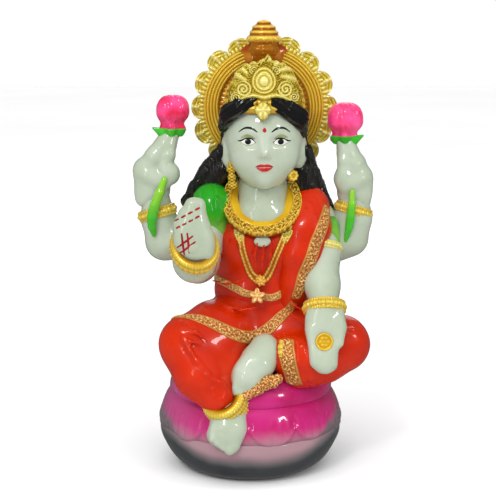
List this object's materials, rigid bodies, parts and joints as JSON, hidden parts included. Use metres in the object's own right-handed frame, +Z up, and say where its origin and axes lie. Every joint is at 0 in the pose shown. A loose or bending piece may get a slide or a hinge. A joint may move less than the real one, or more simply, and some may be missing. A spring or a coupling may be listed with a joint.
{
  "type": "seated deity figurine",
  "caption": "Seated four-armed goddess figurine holding lotus buds, with a leaf-edged halo and a tall crown, one leg lowered, on a lotus seat over a round bulged plinth.",
  "frame": {"origin": "centre of the felt pad's underside, on the table the figurine stands on", "axes": "+Z up, -Y is the way the figure faces, +X is the figure's own left"},
  "size_m": [0.0808, 0.0658, 0.15],
  "materials": {
    "felt_pad": "dark red felt glued under the plinth",
    "plinth_grey": "dark grey enamel airbrushed to mauve at its shoulder, clear lacquer",
    "lotus_magenta": "magenta enamel fading to mauve at the petal tips, clear lacquer",
    "sari_orange": "orange-red enamel, clear lacquer",
    "skin_enamel": "off-white enamel with a faint green tint, clear lacquer",
    "blouse_green": "bright green enamel, clear lacquer",
    "gold_paint": "metallic gold paint under clear lacquer",
    "shaded_gold": "metallic gold paint shaded with orange-brown in the hollows",
    "border_gold": "coppery gold paint over embossed borders",
    "bud_pink": "bright pink enamel, clear lacquer",
    "hair_black": "gloss black enamel over combed strands"
  },
  "bodies": {
    "root": {"base_pad": "felt_pad", "base_plinth": "plinth_grey", "lotus_seat": "lotus_magenta", "lotus_petals": "lotus_magenta", "skirt_lap": "sari_orange", "skirt_right_leg": "sari_orange", "skirt_left_leg": "sari_orange", "right_foot": "skin_enamel", "left_foot": "skin_enamel", "right_hem_cuff": "border_gold", "left_hem_border": "border_gold", "left_foot_trim": "border_gold", "thigh_swag_border": "border_gold", "torso": "sari_orange", "waist_belt": "border_gold", "belt_buckle": "border_gold", "shoulder_drape": "sari_orange", "drape_border": "border_gold", "right_sleeve": "blouse_green", "left_sleeve": "blouse_green", "neck": "skin_enamel", "collar_necklace": "gold_paint", "long_necklace": "gold_paint", "head": "skin_enamel", "hair_front": "hair_black", "hair_back": "hair_black", "crown": "shaded_gold", "crown_front": "gold_paint", "crown_gem": "gold_paint", "forehead_pendant": "gold_paint", "right_earring": "gold_paint", "left_earring": "gold_paint", "halo_plate": "shaded_gold", "halo_ring": "gold_paint", "halo_leaves": "gold_paint", "halo_finial": "shaded_gold", "front_right_arm": "skin_enamel", "front_right_hand": "skin_enamel", "front_right_bangle": "gold_paint", "front_left_arm": "skin_enamel", "front_left_hand": "skin_enamel", "front_left_bangle": "gold_paint", "palm_coin": "gold_paint", "rear_right_arm": "skin_enamel", "rear_right_hand": "skin_enamel", "rear_right_bangle": "gold_paint", "right_lotus_bud": "bud_pink", "right_lotus_calyx": "blouse_green", "right_lotus_stem": "blouse_green", "rear_left_arm": "skin_enamel", "rear_left_hand": "skin_enamel", "rear_left_bangle": "gold_paint", "left_lotus_bud": "bud_pink", "left_lotus_calyx": "blouse_green", "left_lotus_stem": "blouse_green"}
  },
  "joints": []
}
